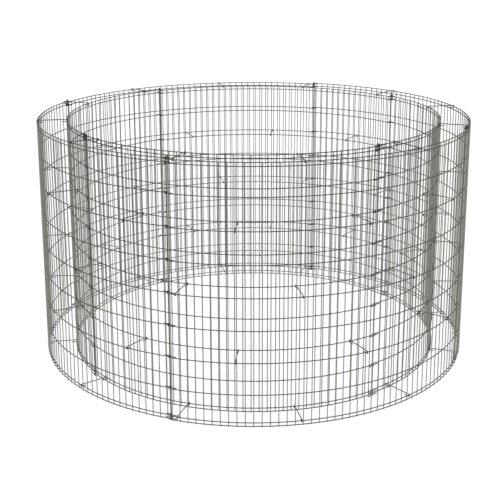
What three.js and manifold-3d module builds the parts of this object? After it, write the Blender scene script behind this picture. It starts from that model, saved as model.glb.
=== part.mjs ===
import * as THREE from 'three';
import { mergeVertices } from 'three/addons/utils/BufferGeometryUtils.js';
import Module from 'manifold-3d';

// Gabion raised bed. Two round walls of welded galvanised wire mesh stand one inside the other.
// The ring-shaped gap between them takes the stones, and the inner wall holds the soil.
// Each wall is four quarter-round panels. Their level wires end in hooks, the hooks of two
// neighbours lie on top of each other, and a rod pushed down through them locks them together.
// The rod's top is bent over, so that it hangs on the hooks and can be pulled out by hand.
// Hooked spacers tie the walls across the gap, so that the stones can't push them apart.
// The origin is on the ground in the middle of the bed. Lengths are in millimetres.

// Driving sizes of the bed
const meshHeight = 800;
const outerRadius = 733.5;
const stoneGap = 100;
const panelsPerWall = 4;
const innerTurnDegrees = -34.7;

// Driving sizes of the mesh
const wire = 3;
const uprightPitchWanted = 24.7;
const levelPitch = 100;
const edgePairStep = 11.4;
const jointGap = 15;
const hookReturn = 18;
const flatsPerPanel = 7;

// Driving sizes of the rods and spacers
const rodDiameter = 4;
const rodHookLeg = 20;
const rodGroundGap = 0.5;
const spacersPerPanel = 3;
const spacerStartDegrees = 1.4;
const spacerReturn = 20;
const spacerPlay = 1;

// Room between pieces that touch, how deep a weld sinks in, and the step between two hooks
const clearance = 0.3;
const weldDepth = 0.3;
const hookStackGap = 0.5;

// A thin wire is drawn with three sides, of about the width that the round wire shows
const barDepthShare = 0.9;
const barDepth = wire * barDepthShare;
const barWidth = barDepth / Math.cos(Math.PI / 6);
const rodSides = 6;
const rodBendSteps = 4;

// Worked out from the sizes above
const panelAngle = (2 * Math.PI) / panelsPerWall;
const flatAngle = panelAngle / flatsPerPanel;
const wireSetback = barDepth + clearance;
const rodRadius = rodDiameter / 2;
const barEye = rodRadius + clearance + barDepth / 2;
const railEye = rodRadius + clearance + wire / 2;
const hookStack = wire + hookStackGap;
const rodHookWidth = rodDiameter + wire + 2 * clearance;
const footMiddle = wire / 2;

// How far each rod's bent top is turned from pointing outwards. Two of them lie along the wires.
const turnAlongWires = Math.PI / 2 + flatAngle / 2;
const outerRodTurns = [turnAlongWires, 0, Math.PI, 0];
const innerRodTurns = [0, -turnAlongWires, 0, 0];

// The levels of the level wires over the foot rail: a close pair at each edge, an even pitch between
const levels = [0, edgePairStep];
for (let level = levelPitch; level < meshHeight - edgePairStep; level += levelPitch) {
  levels.push(level);
}
levels.push(meshHeight - edgePairStep, meshHeight);

// A wall keeps its uprights on the face away from the stones, so the outer one faces out
function makeWall(name, uprightRadius, stoneSide, turn, rodTurns) {
  const wireRadius = uprightRadius + stoneSide * wireSetback;
  const rodPlace = wireRadius + (stoneSide * barEye) / Math.cos(flatAngle / 2);
  const endAngle = jointGap / 2 / uprightRadius;
  const pitches = Math.round((panelAngle - 2 * endAngle) * uprightRadius / uprightPitchWanted);
  const pitchAngle = (panelAngle - 2 * endAngle) / pitches;
  return {
    name,
    uprightRadius,
    wireRadius,
    rodPlace,
    stoneSide,
    turn,
    rodTurns,
    endAngle,
    pitches,
    pitchAngle,
  };
}

const innerTurn = THREE.MathUtils.degToRad(innerTurnDegrees);
const outerWall = makeWall('outer', outerRadius, -1, 0, outerRodTurns);
const innerWall = makeWall('inner', outerRadius - stoneGap, 1, innerTurn, innerRodTurns);

const wasm = await Module();
wasm.setup();

const zinc = { color: 0x74736e, roughness: 0.45, metalness: 0.85 };
const rodZinc = { color: 0x5d5d59, roughness: 0.4, metalness: 0.85 };

function toSolid(geometry) {
  const bare = geometry.clone();
  bare.deleteAttribute('normal');
  bare.deleteAttribute('uv');
  const merged = mergeVertices(bare);
  const vertProperties = new Float32Array(merged.attributes.position.array);
  const triVerts = new Uint32Array(merged.index.array);
  return new wasm.Manifold(new wasm.Mesh({ numProp: 3, vertProperties, triVerts }));
}

function toGeometry(solid) {
  const mesh = solid.getMesh();
  const geometry = new THREE.BufferGeometry();
  geometry.setAttribute('position', new THREE.BufferAttribute(mesh.vertProperties, 3));
  geometry.setIndex(new THREE.BufferAttribute(mesh.triVerts, 1));
  geometry.computeVertexNormals();
  return geometry;
}

function fuse(geometries) {
  let solid = toSolid(geometries[0]);
  for (const geometry of geometries.slice(1)) {
    solid = solid.add(toSolid(geometry));
  }
  return toGeometry(solid);
}

// Sections, as distances to the right of the run and up from its plane, anticlockwise
const barSection = [
  new THREE.Vector2(barDepth / 2, 0),
  new THREE.Vector2(-barDepth / 2, barWidth / 2),
  new THREE.Vector2(-barDepth / 2, -barWidth / 2),
];
const railSection = [
  new THREE.Vector2(wire / 2, -wire / 2),
  new THREE.Vector2(wire / 2, wire / 2),
  new THREE.Vector2(-wire / 2, wire / 2),
  new THREE.Vector2(-wire / 2, -wire / 2),
];
const rodSection = [];
for (let side = 0; side < rodSides; side += 1) {
  const angle = ((side + 0.5) * 2 * Math.PI) / rodSides;
  rodSection.push(new THREE.Vector2(Math.cos(angle), Math.sin(angle)).multiplyScalar(rodRadius));
}

// A wire bent in one plane: the section follows the path and is mitred at each bend
function bentWire(path, section) {
  const sides = section.length;
  const positions = [];
  const right = (a, b) => {
    const run = b.clone().sub(a).normalize();
    return new THREE.Vector2(run.y, -run.x);
  };
  path.forEach((point, i) => {
    const before = right(path[Math.max(i - 1, 0)], path[Math.max(i, 1)]);
    const last = path.length - 1;
    const after = right(path[Math.min(i, last - 1)], path[Math.min(i + 1, last)]);
    const mitre = before.clone().add(after).divideScalar(1 + before.dot(after));
    for (const corner of section) {
      positions.push(point.x + mitre.x * corner.x, point.y + mitre.y * corner.x, corner.y);
    }
  });
  const index = [];
  for (let i = 0; i < path.length - 1; i += 1) {
    for (let side = 0; side < sides; side += 1) {
      const a = i * sides + side;
      const d = i * sides + (side + 1) % sides;
      index.push(a, a + sides, d + sides, a, d + sides, d);
    }
  }
  const end = (path.length - 1) * sides;
  for (let side = 1; side < sides - 1; side += 1) {
    index.push(0, side, side + 1);
    index.push(end, end + side + 1, end + side);
  }
  const geometry = new THREE.BufferGeometry();
  geometry.setAttribute('position', new THREE.Float32BufferAttribute(positions, 3));
  geometry.setIndex(index);
  return geometry;
}

function polar(radius, angle) {
  return new THREE.Vector2(radius * Math.cos(angle), radius * Math.sin(angle));
}

// A wall is rolled in short flats: this is the middle angle of the flat that an angle lies on
function flatMiddle(angle) {
  return (Math.floor(angle / flatAngle) + 0.5) * flatAngle;
}

function flatRadius(cornerRadius, angle) {
  return cornerRadius * Math.cos(flatAngle / 2) / Math.cos(angle - flatMiddle(angle));
}

// The hook at one end of a level wire, from the side of the last upright round to the free end
function hookPoints(inner, outer, rod, eye, startsAtUpright, stoneNormal) {
  const run = outer.clone().sub(inner).normalize();
  const along = rod.clone().sub(inner).dot(run);
  const foot = inner.clone().addScaledVector(run, along);
  const nearRod = rod.clone().addScaledVector(stoneNormal, -eye);
  const turn = nearRod.clone().addScaledVector(run, eye);
  const back = turn.clone().addScaledVector(stoneNormal, 2 * eye);
  const free = back.clone().addScaledVector(run, -eye - hookReturn);
  const points = [turn, back, free];
  if (startsAtUpright) {
    const besideRod = nearRod.clone().addScaledVector(run, -rodRadius);
    points.unshift(foot.addScaledVector(run, -jointGap / 2), besideRod);
  }
  return points;
}

// The path of a level wire from hook to hook, laid so that the stones are on its left
function levelPath(wall, cornerRadius, eye, startsAtUpright) {
  const corners = [];
  for (let i = 0; i <= flatsPerPanel; i += 1) {
    corners.push(polar(cornerRadius, i * flatAngle));
  }
  const firstRod = polar(wall.rodPlace, 0);
  const lastRod = polar(wall.rodPlace, panelAngle);
  const rods = [firstRod, lastRod];
  if (wall.stoneSide > 0) {
    corners.reverse();
    rods.reverse();
  }
  const left = (a, b) => {
    const run = b.clone().sub(a).normalize();
    return new THREE.Vector2(-run.y, run.x);
  };
  const last = corners.length - 1;
  const startLeft = left(corners[0], corners[1]);
  const endLeft = left(corners[last - 1], corners[last]);
  const start = hookPoints(corners[1], corners[0], rods[0], eye, startsAtUpright, startLeft);
  const end = hookPoints(corners[last - 1], corners[last], rods[1], eye, startsAtUpright, endLeft);
  return [...start.reverse(), ...corners.slice(1, last), ...end];
}

// One panel, standing with the middle of its foot rail on the ground plane
function panelGeometry(wall) {
  const pieces = [];
  const railPath = levelPath(wall, wall.uprightRadius, railEye, true);
  const wirePath = levelPath(wall, wall.wireRadius, barEye, false);
  levels.forEach((level, i) => {
    const isRail = i === 0 || i === levels.length - 1;
    const run = isRail ? bentWire(railPath, railSection) : bentWire(wirePath, barSection);
    pieces.push(run.translate(0, 0, level));
  });
  const uprightShape = new THREE.Shape([
    new THREE.Vector2(wall.stoneSide * barDepth / 2, 0),
    new THREE.Vector2(-wall.stoneSide * barDepth / 2, barWidth / 2),
    new THREE.Vector2(-wall.stoneSide * barDepth / 2, -barWidth / 2),
  ]);
  for (let i = 0; i <= wall.pitches; i += 1) {
    const angle = wall.endAngle + i * wall.pitchAngle;
    const welded = i === 0 || i === wall.pitches;
    const shift = welded ? wall.stoneSide * (clearance + weldDepth) : 0;
    const place = polar(flatRadius(wall.uprightRadius, angle), angle);
    const upright = new THREE.ExtrudeGeometry(uprightShape, { depth: meshHeight, bevelEnabled: false });
    upright.translate(shift, 0, 0);
    upright.rotateZ(flatMiddle(angle));
    upright.translate(place.x, place.y, 0);
    pieces.push(upright);
  }
  return fuse(pieces);
}

// The locking rod runs through all the hooks of a joint, and its top is bent over their wires
function rodGeometry() {
  const bendHeight = footMiddle + meshHeight + hookStack + wire / 2;
  const bendRadius = rodHookWidth / 2;
  const path = [new THREE.Vector2(0, rodGroundGap)];
  for (let step = 0; step <= rodBendSteps; step += 1) {
    const angle = Math.PI * (1 - step / rodBendSteps);
    const across = bendRadius * (1 + Math.cos(angle));
    path.push(new THREE.Vector2(across, bendHeight + bendRadius * Math.sin(angle)));
  }
  path.push(new THREE.Vector2(rodHookWidth, bendHeight - rodHookLeg));
  return bentWire(path, rodSection).rotateX(Math.PI / 2);
}

function panelIndexAt(wall, angle) {
  const turned = THREE.MathUtils.euclideanModulo(angle - wall.turn, 2 * Math.PI);
  return Math.floor(turned / panelAngle);
}

// Where a spacer hangs on a wall: the level wire's place, its half sizes and its height
function seatOn(wall, angle, level, isRail) {
  const panelIndex = panelIndexAt(wall, angle);
  const ownAngle = THREE.MathUtils.euclideanModulo(angle - wall.turn, panelAngle);
  const cornerRadius = isRail ? wall.uprightRadius : wall.wireRadius;
  return {
    radius: flatRadius(cornerRadius, ownAngle),
    height: footMiddle + level + (panelIndex % 2) * hookStack,
    halfDepth: isRail ? wire / 2 : barDepth / 2,
    halfHeight: isRail ? wire / 2 : barWidth / 2,
  };
}

// A spacer is one wire, bent over the level wire at each end and back again under it
function spacerGeometry(angle, level, isRail) {
  const outerSeat = seatOn(outerWall, angle, level, isRail);
  const innerSeat = seatOn(innerWall, angle, level, isRail);
  const drop = (seat) => seat.halfDepth + spacerPlay + barDepth / 2;
  const over = (seat) => seat.height + seat.halfHeight + clearance + barDepth / 2;
  const under = (seat) => seat.height - seat.halfHeight - spacerPlay - barDepth / 2;
  const outerDrop = outerSeat.radius + drop(outerSeat);
  const innerDrop = innerSeat.radius - drop(innerSeat);
  const path = [
    new THREE.Vector2(outerDrop - spacerReturn, under(outerSeat)),
    new THREE.Vector2(outerDrop, under(outerSeat)),
    new THREE.Vector2(outerDrop, over(outerSeat)),
    new THREE.Vector2(innerDrop, over(innerSeat)),
    new THREE.Vector2(innerDrop, under(innerSeat)),
    new THREE.Vector2(innerDrop + spacerReturn, under(innerSeat)),
  ];
  return bentWire(path, barSection).rotateX(Math.PI / 2);
}

// The angles, all round, that a spacer can't take: at the uprights and at the joints' hooks
function blockedAngles(wall) {
  const blocked = [];
  const besideUpright = (barWidth + 2 * clearance) / wall.uprightRadius;
  const besideJoint = (hookReturn + barWidth / 2 + clearance) / wall.rodPlace;
  for (let panel = 0; panel < panelsPerWall; panel += 1) {
    const start = wall.turn + panel * panelAngle;
    blocked.push({ middle: start, half: besideJoint });
    for (let i = 0; i <= wall.pitches; i += 1) {
      blocked.push({ middle: start + wall.endAngle + i * wall.pitchAngle, half: besideUpright });
    }
  }
  return blocked;
}

// A spacer stands as near to the wanted angle as the wires of both walls let it
function clearAngle(wanted) {
  const around = [...blockedAngles(outerWall), ...blockedAngles(innerWall)].map(({ middle, half }) => {
    const offset = THREE.MathUtils.euclideanModulo(middle - wanted + Math.PI, 2 * Math.PI) - Math.PI;
    return { from: offset - half, to: offset + half };
  });
  around.sort((a, b) => a.from - b.from);
  let reach = around[0].to;
  let best = Infinity;
  for (const { from, to } of around) {
    if (from > reach) {
      const nearest = THREE.MathUtils.clamp(0, reach, from);
      best = Math.abs(nearest) < Math.abs(best) ? nearest : best;
    }
    reach = Math.max(reach, to);
  }
  return wanted + best;
}

const bed = new THREE.Group();

function addPiece(name, geometry, look, place = new THREE.Vector3(), turn = 0) {
  const piece = new THREE.Mesh(geometry, new THREE.MeshStandardMaterial(look));
  piece.name = name;
  piece.position.copy(place);
  piece.rotation.z = turn;
  bed.add(piece);
}

// The walls: every second panel stands one wire higher, so that the hooks lie on top of each other
const rodShape = rodGeometry();
for (const wall of [outerWall, innerWall]) {
  const panelShape = panelGeometry(wall);
  for (let panel = 0; panel < panelsPerWall; panel += 1) {
    const turn = wall.turn + panel * panelAngle;
    const lift = new THREE.Vector3(0, 0, footMiddle + (panel % 2) * hookStack);
    addPiece(`${wall.name}_panel_${panel + 1}`, panelShape, zinc, lift, turn);
    const rodPoint = polar(wall.rodPlace, turn);
    const rodPosition = new THREE.Vector3(rodPoint.x, rodPoint.y, 0);
    const rodTurn = turn + wall.rodTurns[panel];
    addPiece(`${wall.name}_rod_${panel + 1}`, rodShape, rodZinc, rodPosition, rodTurn);
  }
}

// The spacers: three to a panel in a row, on the foot's second wire, at half height and on the top rail
const middleLevel = Math.round(meshHeight / 2 / levelPitch) * levelPitch;
const rows = [
  { name: 'foot', level: edgePairStep, isRail: false },
  { name: 'middle', level: middleLevel, isRail: false },
  { name: 'top', level: meshHeight, isRail: true },
];
const spacersPerRow = panelsPerWall * spacersPerPanel;
const spacerStart = THREE.MathUtils.degToRad(spacerStartDegrees);
for (const row of rows) {
  for (let i = 0; i < spacersPerRow; i += 1) {
    const angle = clearAngle(spacerStart + (i * 2 * Math.PI) / spacersPerRow);
    const number = String(i + 1).padStart(2, '0');
    const shape = spacerGeometry(angle, row.level, row.isRail);
    addPiece(`spacer_${row.name}_${number}`, shape, zinc, new THREE.Vector3(), angle);
  }
}

// The first joint of the outer wall is at the front, on the side of -Y
bed.rotation.z = -Math.PI / 2;

export default bed;
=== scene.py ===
import math

import bmesh
import bpy
from mathutils import Matrix, Vector


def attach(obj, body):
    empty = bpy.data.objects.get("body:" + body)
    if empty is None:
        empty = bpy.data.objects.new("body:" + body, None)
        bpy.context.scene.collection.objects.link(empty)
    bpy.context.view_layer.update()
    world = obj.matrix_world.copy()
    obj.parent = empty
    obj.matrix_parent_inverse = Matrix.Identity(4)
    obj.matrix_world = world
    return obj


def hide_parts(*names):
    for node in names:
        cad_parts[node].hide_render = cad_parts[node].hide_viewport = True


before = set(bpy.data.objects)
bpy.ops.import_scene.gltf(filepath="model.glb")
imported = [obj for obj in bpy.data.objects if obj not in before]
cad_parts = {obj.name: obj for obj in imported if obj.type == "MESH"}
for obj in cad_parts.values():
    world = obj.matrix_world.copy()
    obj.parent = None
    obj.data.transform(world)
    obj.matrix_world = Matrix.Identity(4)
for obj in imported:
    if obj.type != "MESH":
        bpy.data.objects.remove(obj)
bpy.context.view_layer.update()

# The walls: two rings of four quarter-round panels each, of hot-dip galvanised steel wire mesh. The
# level wires lie on the stone side of the uprights and end in hooks, which close round the rod at
# each joint. All wires are sheared to length, which leaves a small edge round each cut end.
WIRE_RADIUS = 0.0015
WIRE_SIDES = 10
WIRE_CHAMFER = 0.0003
MERGE_DISTANCE = 1e-6
MESH_HEIGHT = 0.8
EDGE_STEP = 0.0114
LEVEL_STEP = 0.1
MIDDLE_LEVELS = [LEVEL_STEP * step for step in range(1, 8)]
LEVELS = [0, EDGE_STEP, *MIDDLE_LEVELS, MESH_HEIGHT - EDGE_STEP, MESH_HEIGHT]
WELD_SINK = 0.0003
HALF_JOINT_GAP = 0.0075
EYE_RADIUS = 0.0038
EYE_STEPS = 10
HOOK_RETURN = 0.018
HOOK_STACK = 0.0035
FOOT_HEIGHT = WIRE_RADIUS
PANELS = 4
QUARTER = math.pi / 2
ORIGIN = Vector((0, 0, 0))
UP = Vector((0, 0, 1))
WALLS = {
    "outer": {"uprights": 0.7335, "stones": -1, "pitches": 46, "turn": 0.0},
    "inner": {"uprights": 0.6335, "stones": 1, "pitches": 40, "turn": math.radians(-34.7)},
}


def each_once(items):
    return list(dict.fromkeys(items))


def start_wire(mesh, place, along, radius, sides):
    aim = along.to_track_quat("Z", "Y").to_matrix().to_4x4()
    at = Matrix.Translation(place) @ aim
    ring = bmesh.ops.create_circle(mesh, cap_ends=False, radius=radius, segments=sides, matrix=at)
    return each_once(edge for corner in ring["verts"] for edge in corner.link_edges)


def bend_wire(mesh, ring, angle, axis, centre, steps):
    section = each_once(corner for edge in ring for corner in edge.verts) + ring
    bent = bmesh.ops.spin(
        mesh, geom=section, angle=angle, steps=steps, axis=axis, cent=centre, use_duplicate=False
    )
    return [item for item in bent["geom_last"] if isinstance(item, bmesh.types.BMEdge)]


def run_wire(mesh, ring, way):
    drawn = bmesh.ops.extrude_edge_only(mesh, edges=ring)["geom"]
    corners = [item for item in drawn if isinstance(item, bmesh.types.BMVert)]
    bmesh.ops.translate(mesh, verts=corners, vec=way)
    return [item for item in drawn if isinstance(item, bmesh.types.BMEdge) and item.is_boundary]


# The edges round a cut end are sharp, so that the wire's long sides are shaded straight up to it.
def cut_wire(mesh, ring, chamfer=WIRE_CHAMFER):
    cut = bmesh.ops.edgeloop_fill(mesh, edges=ring)["faces"]
    sheared = bmesh.ops.bevel(
        mesh,
        geom=[edge for face in cut for edge in face.edges],
        offset=chamfer,
        segments=1,
        profile=0.5,
        affect="EDGES",
        material=-1,
        clamp_overlap=True,
    )
    for face in sheared["faces"]:
        for edge in face.edges:
            edge.smooth = False


def finish_mesh(mesh, name):
    bmesh.ops.remove_doubles(mesh, verts=mesh.verts, dist=MERGE_DISTANCE)
    bmesh.ops.recalc_face_normals(mesh, faces=mesh.faces)
    for face in mesh.faces:
        face.smooth = len(face.verts) < WIRE_SIDES
    data = bpy.data.meshes.new(name)
    mesh.to_mesh(data)
    mesh.free()
    return data


# At each crossing a bead of steel is squeezed out between the two wires by the spot welder. On the
# first and last level wire it is pressed flat, so that the panel stands on its foot wire.
WELD_RADIUS = 0.0024
WELD_THICKNESS = 0.0011
WELD_SIDES = 8
WELD_RINGS = 4
WELD_FINISH = 1
LEVEL_FINISH = 2


def upright_with_welds(mesh, radius, weld_radius):
    before = set(mesh.verts)
    foot = start_wire(mesh, Vector((radius, 0, -WIRE_RADIUS)), UP, WIRE_RADIUS, WIRE_SIDES)
    cut_wire(mesh, run_wire(mesh, foot, UP * (MESH_HEIGHT + 2 * WIRE_RADIUS)))
    cut_wire(mesh, foot)
    for level in LEVELS:
        height = WIRE_RADIUS if level in (0, MESH_HEIGHT) else WELD_RADIUS
        flat = Matrix.Diagonal((WELD_THICKNESS, WELD_RADIUS, height, 1))
        at = Matrix.Translation((weld_radius, 0, level)) @ flat
        bead = bmesh.ops.create_uvsphere(
            mesh, u_segments=WELD_SIDES, v_segments=WELD_RINGS, radius=1, matrix=at
        )
        for corner in bead["verts"]:
            for face in corner.link_faces:
                face.material_index = WELD_FINISH
    corners = [corner for corner in mesh.verts if corner not in before]
    edges = each_once(edge for corner in corners for edge in corner.link_edges)
    faces = each_once(face for corner in corners for face in corner.link_faces)
    return corners + edges + faces


def panel_mesh(wall):
    level_radius = wall["uprights"] + wall["stones"] * (2 * WIRE_RADIUS - WELD_SINK)
    rod_radius = level_radius + wall["stones"] * EYE_RADIUS
    turn = wall["stones"] * math.pi
    start = Vector((level_radius, 0, 0))
    mesh = bmesh.new()
    near = start_wire(mesh, start, Vector((0, 1, 0)), WIRE_RADIUS, WIRE_SIDES)
    far = bend_wire(mesh, near, QUARTER, UP, ORIGIN, wall["pitches"])
    near_eye = bend_wire(mesh, near, turn, UP, Vector((rod_radius, 0, 0)), EYE_STEPS)
    far_eye = bend_wire(mesh, far, -turn, UP, Vector((0, rod_radius, 0)), EYE_STEPS)
    cut_wire(mesh, run_wire(mesh, near_eye, Vector((0, HOOK_RETURN, 0))))
    cut_wire(mesh, run_wire(mesh, far_eye, Vector((HOOK_RETURN, 0, 0))))
    level_wire = mesh.verts[:] + mesh.edges[:] + mesh.faces[:]
    for level in LEVELS[1:]:
        copied = bmesh.ops.duplicate(mesh, geom=level_wire)["geom"]
        corners = [item for item in copied if isinstance(item, bmesh.types.BMVert)]
        bmesh.ops.translate(mesh, verts=corners, vec=UP * level)
    for face in mesh.faces:
        face.material_index = LEVEL_FINISH
    column = upright_with_welds(mesh, wall["uprights"], (wall["uprights"] + level_radius) / 2)
    end_angle = HALF_JOINT_GAP / wall["uprights"]
    corners = [item for item in column if isinstance(item, bmesh.types.BMVert)]
    bmesh.ops.rotate(mesh, verts=corners, matrix=Matrix.Rotation(end_angle, 3, "Z"))
    bmesh.ops.spin(
        mesh,
        geom=column,
        angle=QUARTER - 2 * end_angle,
        steps=wall["pitches"],
        axis=UP,
        cent=ORIGIN,
        use_duplicate=True,
    )
    return finish_mesh(mesh, "welded_panel")


def set_piece(name, shape, place, materials):
    data = shape.copy()
    data.transform(place)
    for material in materials:
        data.materials.append(material)
    piece = bpy.data.objects.new(name, data)
    bpy.context.scene.collection.objects.link(piece)
    return piece


def linear(code):
    shares = [int(code[place : place + 2], 16) / 255 for place in (1, 3, 5)]
    return [c / 12.92 if c <= 0.04045 else ((c + 0.055) / 1.055) ** 2.4 for c in shares] + [1]


def add_node(tree, kind, settings=(), links=()):
    node = tree.nodes.new(kind)
    for name, value in dict(settings).items():
        if name in node.inputs:
            node.inputs[name].default_value = value
        else:
            setattr(node, name, value)
    for name, source in dict(links).items():
        tree.links.new(source, node.inputs[name])
    return node


# Zinc on wire has crystals of about 1 mm and pits of a few tenths. Both are drawn up to four times
# as coarse, so that they show. The noise of the duller patches runs from PATCH_LOW to PATCH_HIGH.
CRYSTAL_SHARE = 0.35
PATCH_LOW = 0.3
PATCH_HIGH = 0.7
PIT_STRENGTH = 0.6


def galvanised(name, bright, dull, smooth, rough, crystal_mm, patch_mm, pit_mm, pit_depth_mm):
    material = bpy.data.materials.new(name)
    material.use_nodes = True
    tree = material.node_tree
    place = {"Vector": add_node(tree, "ShaderNodeTexCoord").outputs["Object"]}
    crystal_settings = {"Scale": 1000 / crystal_mm, "Randomness": 1.0}
    crystals = add_node(tree, "ShaderNodeTexVoronoi", crystal_settings, place)
    patch_settings = {"Scale": 1000 / patch_mm, "Detail": 4.0, "Roughness": 0.6}
    patches = add_node(tree, "ShaderNodeTexNoise", patch_settings, place)
    pit_settings = {"Scale": 1000 / pit_mm, "Detail": 2.0, "Roughness": 0.5}
    pits = add_node(tree, "ShaderNodeTexNoise", pit_settings, place)
    crystal = add_node(tree, "ShaderNodeSeparateColor", links={"Color": crystals.outputs["Color"]})
    both = add_node(
        tree,
        "ShaderNodeMix",
        {"data_type": "FLOAT", "Factor": CRYSTAL_SHARE},
        {"A": patches.outputs["Fac"], "B": crystal.outputs["Red"]},
    )
    shade = add_node(tree, "ShaderNodeValToRGB", links={"Fac": both.outputs["Result"]})
    low, high = shade.color_ramp.elements
    low.position, low.color = PATCH_LOW, linear(dull)
    high.position, high.color = PATCH_HIGH, linear(bright)
    gloss = add_node(
        tree,
        "ShaderNodeMapRange",
        {"From Min": PATCH_LOW, "From Max": PATCH_HIGH, "To Min": rough, "To Max": smooth},
        {"Value": both.outputs["Result"]},
    )
    relief = add_node(
        tree,
        "ShaderNodeBump",
        {"Strength": PIT_STRENGTH, "Distance": pit_depth_mm / 1000},
        {"Height": pits.outputs["Fac"]},
    )
    surface = tree.nodes["Principled BSDF"]
    surface.inputs["Metallic"].default_value = 1
    tree.links.new(shade.outputs["Color"], surface.inputs["Base Color"])
    tree.links.new(gloss.outputs["Result"], surface.inputs["Roughness"])
    tree.links.new(relief.outputs["Normal"], surface.inputs["Normal"])
    return material


# Hot-dip galvanised uprights: satin light grey zinc with small crystals and duller patches.
zinc_upright = galvanised(
    "satin_zinc_upright",
    bright="#96958f",
    dull="#7b7a75",
    smooth=0.3,
    rough=0.45,
    crystal_mm=2.5,
    patch_mm=14,
    pit_mm=0.8,
    pit_depth_mm=0.05,
)
# The level wires and the spacers are the same zinc wire as the uprights. Their colour is painted
# shade, darker than the uprights, and they are duller, with the same crystals.
zinc_level_painted_shade = galvanised(
    "dull_zinc_level_wire_painted_shade",
    bright="#5c5b57",
    dull="#474642",
    smooth=0.38,
    rough=0.55,
    crystal_mm=2.5,
    patch_mm=14,
    pit_mm=0.8,
    pit_depth_mm=0.05,
)
# A weld spot through the zinc: rougher than both wires, and as dark as the level wire.
zinc_weld = galvanised(
    "dull_zinc_weld",
    bright="#5e5d59",
    dull="#434240",
    smooth=0.55,
    rough=0.75,
    crystal_mm=1.2,
    patch_mm=6,
    pit_mm=0.6,
    pit_depth_mm=0.12,
)

# Every second panel stands one hook higher, so that its hooks lie on those of its neighbours.
for wall_name, wall in WALLS.items():
    shape = panel_mesh(wall)
    for number in range(PANELS):
        lift = Matrix.Translation(UP * (FOOT_HEIGHT + HOOK_STACK * (number % 2)))
        turned = Matrix.Rotation(wall["turn"] + (number - 1) * QUARTER, 4, "Z")
        node = f"{wall_name}_panel_{number + 1}"
        finishes = [zinc_upright, zinc_weld, zinc_level_painted_shade]
        panel = set_piece(f"{node}_wires", shape, lift @ turned, finishes)
        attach(panel, "mesh_walls")
        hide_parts(node)

# The locking rods: one at each joint, of 4 mm galvanised steel, with the top bent over like a cane.
# It is pushed down through all the hooks of the joint, and its short leg hangs over their wires.
ROD_RADIUS = 0.002
ROD_SIDES = 16
ROD_FOOT = 0.0005
ROD_BEND_HEIGHT = 0.8065
ROD_BEND_RADIUS = 0.0038
ROD_BEND_STEPS = 12
ROD_LEG = 0.02
ROD_CHAMFER = 0.0005
ROD_RINGS = {"outer": 0.727, "inner": 0.64}
# How many quarter turns each short leg stands from pointing straight out
LEG_QUARTERS = {"outer": (1, 0, 2, 0), "inner": (0, -1, 0, 0)}


def rod_mesh():
    mesh = bmesh.new()
    foot = start_wire(mesh, UP * ROD_FOOT, UP, ROD_RADIUS, ROD_SIDES)
    top = run_wire(mesh, foot, UP * (ROD_BEND_HEIGHT - ROD_FOOT))
    centre = Vector((ROD_BEND_RADIUS, 0, ROD_BEND_HEIGHT))
    over = bend_wire(mesh, top, math.pi, Vector((0, 1, 0)), centre, ROD_BEND_STEPS)
    cut_wire(mesh, run_wire(mesh, over, UP * -ROD_LEG), ROD_CHAMFER)
    cut_wire(mesh, foot, ROD_CHAMFER)
    return finish_mesh(mesh, "cane_rod")


def from_front(radius, angle):
    return Vector((radius * math.cos(angle - QUARTER), radius * math.sin(angle - QUARTER), 0))


# Galvanised rod, drawn smoother than the mesh wire, so that it is darker and reflects more clearly.
zinc_rod = galvanised(
    "smooth_zinc_rod",
    bright="#63625e",
    dull="#4f4e4b",
    smooth=0.28,
    rough=0.42,
    crystal_mm=3.5,
    patch_mm=25,
    pit_mm=1.0,
    pit_depth_mm=0.03,
)

rod_shape = rod_mesh()
for wall_name, wall in WALLS.items():
    for number in range(PANELS):
        angle = wall["turn"] + number * QUARTER
        leg_angle = angle - QUARTER + LEG_QUARTERS[wall_name][number] * QUARTER
        turned = Matrix.Rotation(leg_angle, 4, "Z")
        place = Matrix.Translation(from_front(ROD_RINGS[wall_name], angle))
        node = f"{wall_name}_rod_{number + 1}"
        rod = set_piece(f"{node}_steel", rod_shape, place @ turned, [zinc_rod])
        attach(rod, node)
        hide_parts(node)

# The spacers: lengths of the same wire, each bent over a level wire of both walls and back under,
# so that the stones can't push the walls apart. They are hooked in by hand, about 30 degrees apart
# at the foot, at 400 mm and on top, and roughly halfway between these at 200 and 600 mm.
SPACER_BEND = 0.0035
SPACER_DROP = 0.0004
SPACER_TAIL = 0.0165
SPACER_OUTER = 0.7308
SPACER_INNER = 0.6362
EVEN_ANGLES = [quarter + angle for quarter in range(0, 360, 90) for angle in (1.77, 31.19, 61.4)]
LOOSE_ANGLES = [15.7, 47.5, 78.6, 106.45, 136.5, 164.6]
LOOSE_ANGLES += [193.7, 222.7, 256.3, 288.4, 316.5, 348.5]
SPACER_ROWS = {
    "foot": {"level": EDGE_STEP, "angles": EVEN_ANGLES, "solid": True},
    "lower": {"level": 0.2, "angles": LOOSE_ANGLES, "solid": False},
    "middle": {"level": 0.4, "angles": EVEN_ANGLES, "solid": True},
    "upper": {"level": 0.6, "angles": LOOSE_ANGLES, "solid": False},
    "top": {"level": MESH_HEIGHT, "angles": EVEN_ANGLES, "solid": True},
}


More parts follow.
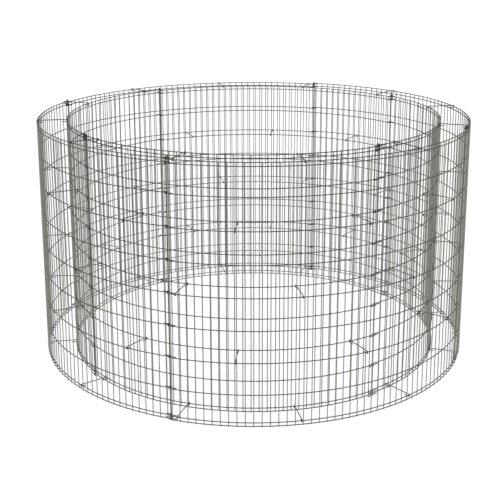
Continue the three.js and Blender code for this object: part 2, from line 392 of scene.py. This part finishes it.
def spacer_mesh():
    mesh = bmesh.new()
    length = SPACER_OUTER - SPACER_INNER
    across = Vector((0, 1, 0))
    top = Vector((length, 0, SPACER_BEND))
    outer_ring = start_wire(mesh, top, Vector((1, 0, 0)), WIRE_RADIUS, WIRE_SIDES)
    outer_centre = Vector((length, 0, 0))
    outer_bend = bend_wire(mesh, outer_ring, math.pi, across, outer_centre, EYE_STEPS)
    cut_wire(mesh, run_wire(mesh, outer_bend, Vector((-SPACER_TAIL, 0, 0))))
    inner_ring = run_wire(mesh, outer_ring, Vector((-length, 0, 0)))
    inner_bend = bend_wire(mesh, inner_ring, -math.pi, across, ORIGIN, EYE_STEPS)
    cut_wire(mesh, run_wire(mesh, inner_bend, Vector((SPACER_TAIL, 0, 0))))
    return finish_mesh(mesh, "spacer")


def panel_lift(wall, angle):
    return HOOK_STACK * (math.floor((angle - wall["turn"]) / QUARTER) % 2)


spacer_shape = spacer_mesh()
for row_name, row in SPACER_ROWS.items():
    for number, degrees in enumerate(row["angles"]):
        angle = math.radians(degrees)
        outer_lift = panel_lift(WALLS["outer"], angle)
        inner_lift = panel_lift(WALLS["inner"], angle)
        slope = math.atan2(outer_lift - inner_lift, SPACER_OUTER - SPACER_INNER)
        height = FOOT_HEIGHT + row["level"] + inner_lift - SPACER_DROP
        turned = Matrix.Rotation(angle - QUARTER, 4, "Z")
        at = Matrix.Translation((SPACER_INNER, 0, height)) @ Matrix.Rotation(-slope, 4, "Y")
        node = f"spacer_{row_name}_{number + 1:02d}"
        # Each spacer takes the level wire's zinc, with its painted shade.
        spacer = set_piece(f"{node}_wire", spacer_shape, turned @ at, [zinc_level_painted_shade])
        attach(spacer, "mesh_walls")
        if row["solid"]:
            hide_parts(node)

# The studio: a white floor that runs up into a white wall all round, both lit through from behind
# so that they stay white, under a darker ceiling with one large soft light.
FLOOR_RADIUS = 30
FLOOR_DROP = 0.0001
WALL_HEIGHT = 11
STUDIO_SIDES = 96
FLOOR_PAINT = "#595959"
FLOOR_GLOW = 0.93
CEILING_LIGHT = 0.7
TOP_LIGHT = 1.5
TOP_LIGHT_SPREAD = 50
TOP_LIGHT_TILT = (25, -20, 0)

studio_mesh = bmesh.new()
bmesh.ops.create_circle(studio_mesh, cap_ends=True, radius=FLOOR_RADIUS, segments=STUDIO_SIDES)
floor_rim = [edge for edge in studio_mesh.edges if edge.is_boundary]
run_wire(studio_mesh, floor_rim, UP * WALL_HEIGHT)
studio_shape = finish_mesh(studio_mesh, "floor")
studio = set_piece("floor", studio_shape, Matrix.Translation(UP * -FLOOR_DROP), [])
white = bpy.data.materials.new("white_studio_floor")
white.use_nodes = True
paint = white.node_tree.nodes["Principled BSDF"]
paint.inputs["Base Color"].default_value = linear(FLOOR_PAINT)
paint.inputs["Roughness"].default_value = 1
paint.inputs["Emission Color"].default_value = linear("#ffffff")
paint.inputs["Emission Strength"].default_value = FLOOR_GLOW
studio.data.materials.append(white)

world = bpy.data.worlds.new("studio")
bpy.context.scene.world = world
world.use_nodes = True
ceiling = world.node_tree.nodes["Background"]
ceiling.inputs["Color"].default_value = linear("#ffffff")
ceiling.inputs["Strength"].default_value = CEILING_LIGHT

sun = bpy.data.objects.new("soft_light", bpy.data.lights.new("soft_light", "SUN"))
sun.data.energy = TOP_LIGHT
sun.data.angle = math.radians(TOP_LIGHT_SPREAD)
sun.rotation_euler = [math.radians(degrees) for degrees in TOP_LIGHT_TILT]
bpy.context.scene.collection.objects.link(sun)
bpy.context.scene.view_settings.view_transform = "Standard"

# The camera stands where wires measured in the photograph put it, at its height and distance. Its
# lens is shifted only a little, so that the bed stays in the frame when it is seen from above.
CAMERA_DISTANCE = 3.48355
CAMERA_HEIGHT = 1.44341
CAMERA_TURN = math.radians(19.9)
CAMERA_PITCH = math.radians(14.104)
CAMERA_LENS = 73.68
CAMERA_SHIFT_X = -0.0075
CAMERA_SHIFT_Y = -0.14

camera = bpy.data.objects.new("camera", bpy.data.cameras.new("camera"))
camera.data.lens = CAMERA_LENS
camera.data.shift_x = CAMERA_SHIFT_X
camera.data.shift_y = CAMERA_SHIFT_Y
camera.location = from_front(CAMERA_DISTANCE, CAMERA_TURN) + UP * CAMERA_HEIGHT
camera.rotation_euler = (QUARTER - CAMERA_PITCH, 0, CAMERA_TURN)
bpy.context.scene.collection.objects.link(camera)
bpy.context.scene.camera = camera
